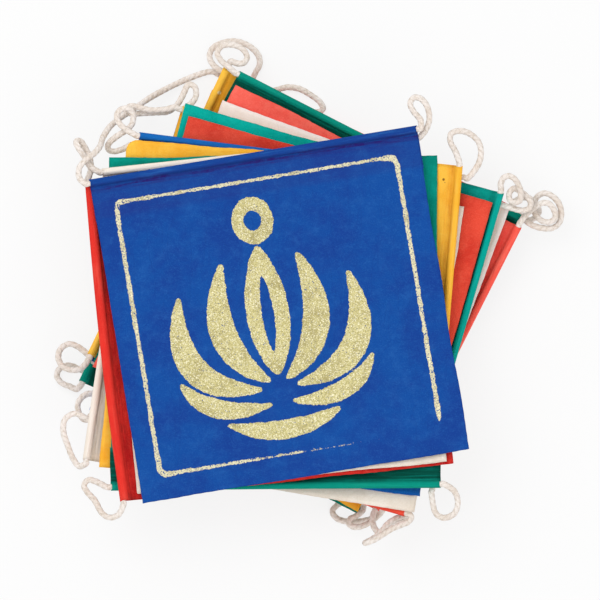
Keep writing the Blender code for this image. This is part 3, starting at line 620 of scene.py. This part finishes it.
# ---------------------------------------------------------------- the flags
UV_SPAN = 200.0  # millimetres of flag to one unit of the texture map
CREASE_AT = 5.6  # from the hem's edge
FLAP_HEIGHT = 0.15  # of the flap's middle over the underside
WORN_FLAG = 16  # the one with a rounded corner
WORN_RADIUS = 5.5
BULGE = {18: 1.5, 14: 0.9, 3: 0.6}  # how far the middle of a loose hem swells outwards
WIDENED = {18: 1.7}  # how much wider a puffed hem is
# What is cut from the second end, at the hem and at the far edge.
TRIMMED = {11: (1.8, 3.0), 15: (1.9, 1.9), 16: (1.7, -2.6)}
CUT_REACH = 12.0  # how far in from an edge its wandering is felt
NO_INK = -5.0


def hem_profile(depth, step):
    """The middle line of the paper across a flag, from its far edge to the end of the turned-back flap.

    Distance from the hem's edge, and height over the underside: level over most of the flag, up over the cord, round
    it on an arc, and back under the sheet.
    """
    arc = np.radians(np.arange(-8.0, 262.0, 15.0))
    level = np.arange(depth, 30.0, -step)
    return np.concatenate(
        [
            np.stack([level, np.full(len(level), 0.30)], axis=1),
            [(27.0, 0.32), (23.5, 0.42), (21.0, 0.50), (18.0, 0.52), (14.0, 0.52), (10.0, 0.50), (7.5, 0.48)],
            [(6.2, 0.47), (5.4, 0.50), (4.75, 0.80)],
            np.stack([HEM_PITCH + HEM_BEND * np.cos(arc), HEM_RISE + HEM_BEND * np.sin(arc)], axis=1),
            [(reach, FLAP_HEIGHT) for reach in (3.2, 4.5, 7.0, 11.0, 15.0, 19.0, FLAP)],
        ]
    )


def cubic_weights(places):
    """Weights of the CELLS + 1 grid lines for a smooth curve through them, at places from 0 to 1."""
    scaled = np.clip(np.asarray(places), 0.0, 1.0) * CELLS
    cell = np.minimum(scaled.astype(int), CELLS - 1)
    t = scaled - cell
    weights = np.zeros((len(scaled), CELLS + 3))
    rows = np.arange(len(scaled))
    for shift, value in enumerate(
        (-t + 2 * t**2 - t**3, 2 - 5 * t**2 + 3 * t**3, t + 4 * t**2 - 3 * t**3, -(t**2) + t**3)
    ):
        weights[rows, cell + shift] += value / 2
    weights[:, 1] += 2 * weights[:, 0]
    weights[:, 2] -= weights[:, 0]
    weights[:, -2] += 2 * weights[:, -1]
    weights[:, -3] -= weights[:, -1]
    return weights[:, 1:-1]


def underside_heights(node, place):
    """The height of the model's underside over each point of its own grid, found by looking up from below it."""
    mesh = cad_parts[node].data
    tree = BVHTree.FromPolygons([v.co for v in mesh.vertices], [p.vertices for p in mesh.polygons])
    lines = np.clip(np.linspace(0.0, 1.0, CELLS + 1), 0.001, 0.999)
    a, b = np.meshgrid(lines, lines, indexing="ij")
    spots = place(a, b).reshape(-1, 2) * MM
    hits = [tree.ray_cast((float(px), float(py), -0.01), (0.0, 0.0, 1.0))[0] for px, py in spots]
    return np.array([hit.z / MM for hit in hits]).reshape(CELLS + 1, CELLS + 1)


def rounded_corner(u, v, length, depth, radius):
    """Draws in the corner at u = 0, v = depth: a square of side radius becomes a quarter disc."""
    across, down = np.clip(radius - u, 0.0, None), np.clip(radius - (depth - v), 0.0, None)
    both = (across > 0) & (down > 0)
    share = np.where(both, np.maximum(across, down) / np.maximum(np.hypot(across, down), 1e-9), 1.0)
    return np.where(both, radius - across * share, u), np.where(both, depth - radius + down * share, v)


def flag_sheet(number, row, finish, step, swell):
    """One flag: the hem's profile carried along the hem, laid on the model's heights, with the paper's thickness.

    The middle surface is place(along, distance) with height = underside + profile + a little unevenness, whose size is
    swell. Its two faces lie half the paper's thickness along the normal to either side. Points are a step apart.
    """
    colour, side, x, y, length, depth, turn, skew = row
    node = f"flag_{number:02d}_{colour}"
    rng = np.random.default_rng(900 + number)
    angle = math.radians(turn + HEM_SIDES[side])
    out = np.array([math.cos(angle), math.sin(angle)])
    angle += math.radians(skew)
    down = np.array([math.sin(angle), -math.cos(angle)])

    def place(a, b):
        spread = (np.asarray(a) - 0.5)[..., None] * length * out + (np.asarray(b) - 0.5)[..., None] * depth * down
        return np.array([x, y]) + spread

    heights = underside_heights(node, place)
    profile = hem_profile(depth, step)
    u_line = np.linspace(0.0, length, round(length / step) + 1)
    u = np.repeat(u_line[:, None], len(profile), axis=1)
    v = np.repeat(profile[None, :, 0], len(u_line), axis=0)
    rise = np.repeat(profile[None, :, 1], len(u_line), axis=0)
    weights_a = cubic_weights(u_line / length)
    weights_b = cubic_weights(profile[:, 0] / depth)
    base = weights_a @ heights @ weights_b.T

    loose = BULGE.get(number, 0.0) * np.sin(np.pi * u / length)
    # The cut edges wander a little, and the turned-back flap is a touch wider than the sheet.
    near_far = np.clip(1.0 - (depth - v) / CUT_REACH, 0.0, 1.0) ** 2
    v = v + near_far * (0.55 * ripple(rng, u, 0 * u, 4, 45.0) + 0.16 * ripple(rng, u, 0 * u, 5, 4.0))
    s = lengths_along(profile)
    for edge in (0.0, length):
        inward = np.clip(1.0 - np.abs(u - edge) / CUT_REACH, 0.0, 1.0) ** 2
        across = s[None, :] + 0 * u
        wander = 0.5 * ripple(rng, across, 0 * u, 4, 45.0) + 0.15 * ripple(rng, across, 0 * u, 5, 4.0)
        u = u + inward * wander
    turned_back = np.clip((s - (s[-1] - FLAP - 2.0)) / 2.0, 0.0, 1.0)[None, :]
    u = u + turned_back * 0.6 * (2 * u / length - 1.0)
    if number == WORN_FLAG:
        u, v = rounded_corner(u, v, length, depth, WORN_RADIUS)

    u_map, v_map = u, v
    at_hem, at_far = TRIMMED.get(number, (0.0, 0.0))
    u = u * (1.0 - (at_hem + (at_far - at_hem) * v / depth) / length)
    wide = WIDENED.get(number, 0.0) * np.clip(v / (2 * HEM_PITCH), 0.0, 1.0) - loose
    v = v + wide * np.clip(1.0 - v / 26.0, 0.0, 1.0)
    plane = place(u / length, v / depth)
    sway = swell * ripple(rng, plane[..., 0], plane[..., 1], 7, 34.0)
    hem = np.clip(1.0 - np.abs(v_map - HEM_PITCH) / 3.2, 0.0, 1.0)
    puff = 1.0 + hem * (0.05 * ripple(rng, u, 0 * u, 5, 9.0) + 0.08 * loose)
    z = base + rise * puff + sway * (1.0 - hem)
    middle = np.concatenate([plane, z[..., None]], axis=-1)
    normal = unit(np.cross(np.gradient(middle, axis=1), np.gradient(middle, axis=0)))
    if normal[0, 0, 2] < 0:
        normal = -normal
    faces_out = middle + normal * PAPER / 2
    faces_in = middle - normal * PAPER / 2
    rows, columns = u.shape
    count = rows * columns
    points = np.concatenate([faces_out.reshape(-1, 3), faces_in.reshape(-1, 3)])
    index = np.arange(count).reshape(rows, columns)
    rim = np.concatenate([index[0, :-1], index[:-1, -1], index[-1, :0:-1], index[::-1, 0]])
    edges = strip_faces(rim, rim + count)[:, ::-1]
    faces = np.concatenate([grid_faces(rows, columns), grid_faces(rows, columns, count, flip=True), edges])
    a, b, c = (points[faces[0, k]] for k in range(3))
    if np.cross(b - a, c - a)[2] < 0:
        faces = faces[:, ::-1]
    uv = np.stack([u_map, v_map], axis=-1).reshape(-1, 2) / UV_SPAN
    uv = np.concatenate([uv, uv])
    layers = []
    if number == len(FLAGS):
        ink, framing = print_layer(u - length / 2, depth / 2 - v, length, depth)
        ink = np.where(s[None, :] < s[-1] - FLAP - 8.0, ink, NO_INK)
        bare = np.full(count, NO_INK)
        layers = [("print", np.concatenate([ink.ravel(), bare])), ("frame", np.concatenate([framing.ravel(), bare]))]
    piece = mesh_object(f"paper_flag_{number:02d}", points, faces, finish, uv, layers)
    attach(piece, "root")
    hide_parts(node)


# ---------------------------------------------------------------- the gold print
FLOWER_LEFT = 5.5  # how far the flower stands left of the middle
RING_MIDDLE, RING_ACROSS, RING_UP, RING_HOLE = 47.0, 10.2, 11.6, 0.42
FRAME_MARGINS = 10.0, 11.3, 13.6, 11.7  # left, right, top and bottom
FRAME_CORNER = 4.0
BRUSH_STEPS = 48


def brush(x, y, start, pull, end, half_width):
    """How deep each point lies inside a brush stroke: a bent line whose half-width swells and tapers as a sine."""
    t = np.linspace(0.0, 1.0, BRUSH_STEPS)[:, None]
    line = (1 - t) ** 2 * np.array(start) + 2 * t * (1 - t) * np.array(pull) + t**2 * np.array(end)
    width = half_width * np.sin(np.pi * (0.04 + 0.92 * t[:, 0])) ** 0.75
    depth = np.full(x.shape, -50.0)
    for (px, py), w in zip(line, width):
        depth = np.maximum(depth, w - np.hypot(x - px, y - py))
    return depth


def print_layer(x, y, length, depth):
    """The print's depth in millimetres, above zero inside it, and 1 where that is the frame's: a lotus with a jewel
    ring over it, in a thin frame.

    x runs to the right and y up from the flag's middle. The flower stands a little to the left of it.
    """
    frame_x, x = x, x + FLOWER_LEFT
    ink = brush(x, y, (0, -27), (0, 0), (0, 32), 10.5)
    ink = np.minimum(ink, -brush(x, y, (0, -17), (0, 0), (0, 19), 3.0))
    for sign in (-1, 1):
        ink = np.maximum(ink, brush(x, y, (sign * 5, -31), (sign * 33, -12), (sign * 19, 27), 6.6))
        ink = np.maximum(ink, brush(x, y, (sign * 10, -35), (sign * 53, -30), (sign * 42, 14), 6.4))
        ink = np.maximum(ink, brush(x, y, (sign * 6, -43), (sign * 36, -47), (sign * 47, -27), 4.6))
    ink = np.maximum(ink, brush(x, y, (-27, -50), (0, -62), (27, -50), 4.8))
    ring = np.hypot(x / RING_ACROSS, (y - RING_MIDDLE) / RING_UP)
    ink = np.maximum(ink, np.minimum((1.0 - ring) * 10.5, (ring - RING_HOLE) * 10.5))

    from_left, from_right, from_top, from_bottom = FRAME_MARGINS
    left, right = -length / 2 + from_left, length / 2 - from_right
    top, bottom = depth / 2 - from_top, -depth / 2 + from_bottom
    cx, cy = (left + right) / 2, (top + bottom) / 2
    dx = np.abs(frame_x - cx) - (right - left) / 2 + FRAME_CORNER
    dy = np.abs(y - cy) - (top - bottom) / 2 + FRAME_CORNER
    outside = np.hypot(np.clip(dx, 0, None), np.clip(dy, 0, None)) + np.minimum(np.maximum(dx, dy), 0) - FRAME_CORNER
    level = np.abs(dy) < np.abs(dx)
    half = np.where(level, 0.92, 0.64 + 0.42 * np.clip(np.abs(frame_x - cx) / 62.0, 0, 1) ** 2)
    nearest_x = np.minimum(np.abs(frame_x - left), np.abs(frame_x - right))
    nearest_y = np.minimum(np.abs(y - top), np.abs(y - bottom))
    from_corner = np.hypot(nearest_x, nearest_y)
    half = half + 0.55 * np.exp(-((from_corner / 8.0) ** 2))
    line = half - np.abs(outside + 0.6)
    # The lower side thins out to the right and is worn off before the corner, and the right side stops short of it.
    low_side = (y < bottom + 8.0) & (frame_x < right - 5.0)
    thinning = 0.3 * np.clip((frame_x - left - 9.0) / 25.0, 0.0, 1.0)
    thinning += 0.7 * np.clip((frame_x + 30.0) / 60.0, 0.0, 1.0)
    worn_off = np.where(low_side, 0.75 * thinning + 2.2 * np.clip((frame_x - 38.0) / 8.0, 0.0, 1.0), 0.0)
    worn_off += np.where(frame_x >= right - 5.0, 2.2 * np.clip((bottom + 6.5 - y) / 4.0, 0.0, 1.0), 0.0)
    line = line - worn_off
    return np.maximum(ink, line), np.where(line > ink, 1.0, 0.0)


# ---------------------------------------------------------------- finishes of the flags
# For each dye lot: the main colour, the deeper and paler ones, the crease's (a painted shadow of the raised hem, also
# used for the doubled paper over the flap), the hem's (partly painted light on the tube), and how much deeper the
# paper looks over the turned-back edge.
DYES = {
    "blue": ((18, 75, 154), (21, 62, 143), (44, 104, 178), (44, 22, 104), (22, 62, 140), 0.2),
    "azure": ((10, 94, 174), (20, 74, 156), (50, 128, 200), (20, 40, 110), (24, 104, 182), 0.3),
    "white": ((241, 229, 216), (228, 213, 197), (250, 243, 236), (202, 184, 162), (244, 234, 222), 0.25),
    "rose_white": ((251, 236, 231), (242, 225, 217), (254, 247, 243), (222, 202, 192), (250, 240, 234), 0.25),
    "red": ((220, 48, 40), (188, 28, 28), (238, 88, 72), (128, 12, 16), (232, 56, 46), 0.25),
    "scarlet": ((228, 78, 58), (206, 56, 42), (240, 104, 82), (170, 26, 22), (234, 70, 52), 0.2),
    "coral": ((252, 106, 92), (240, 86, 74), (255, 138, 120), (236, 58, 52), (255, 88, 74), 0.15),
    "green": ((4, 152, 136), (0, 126, 110), (24, 162, 140), (0, 64, 52), (4, 142, 122), 0.92),
    "teal": ((0, 170, 156), (0, 148, 136), (36, 182, 170), (0, 96, 84), (0, 158, 145), 0.15),
    "jade": ((0, 132, 112), (0, 104, 84), (26, 156, 136), (0, 58, 46), (0, 148, 130), 0.8),
    "yellow": ((255, 198, 72), (246, 172, 46), (255, 208, 100), (214, 128, 30), (252, 184, 54), 0.12),
    "amber": ((250, 184, 56), (240, 162, 38), (255, 202, 94), (238, 164, 44), (255, 206, 80), 0.08),
}
# The dye lot of each flag, from the lowest up.
LOTS = ["amber", "jade", "red", "white", "blue", "amber", "jade", "coral", "rose_white", "azure"]
LOTS += ["amber", "teal", "scarlet", "white", "azure", "yellow", "green", "red", "white", "blue"]

# Stains: centre x and y, radius, colour.
SPOTS = {
    16: [(70.0, 58.8, 0.8, (120, 76, 34)), (70.7, 57.3, 0.4, (190, 130, 60))],
    6: [(-39.5, 101.5, 1.0, (255, 240, 190))],
}


# ---------------------------------------------------------------- the scene
TOP_STEP, STEP = 1.0, 2.0  # between the points of the top flag, and of the others
TOP_SWELL, SWELL = 0.16, 0.1
# Strength of the painted shadow along the crease: on the top flag, and on the others.
TOP_CREASE_SHADOW, CREASE_SHADOW = 0.95, 0.6
TAILS = ("cord_start", "cord_end")

camera_and_light()
string = cotton("cotton cord")
for name, route in ROUTES.items():
    cord_stretch(name.replace("cord", "string"), name, route, string, tail=name in TAILS)
floor()
for number, (row, lot) in enumerate(zip(FLAGS, LOTS), start=1):
    top = number == len(FLAGS)
    finish = paper(
        f"{lot} paper {number:02d}",
        lot,
        seed=number * 1.7,
        crease_shadow_share=TOP_CREASE_SHADOW if top else CREASE_SHADOW,
        gold=top,
        spots=SPOTS.get(number, ()),
    )
    flag_sheet(number, row, finish, TOP_STEP if top else STEP, TOP_SWELL if top else SWELL)
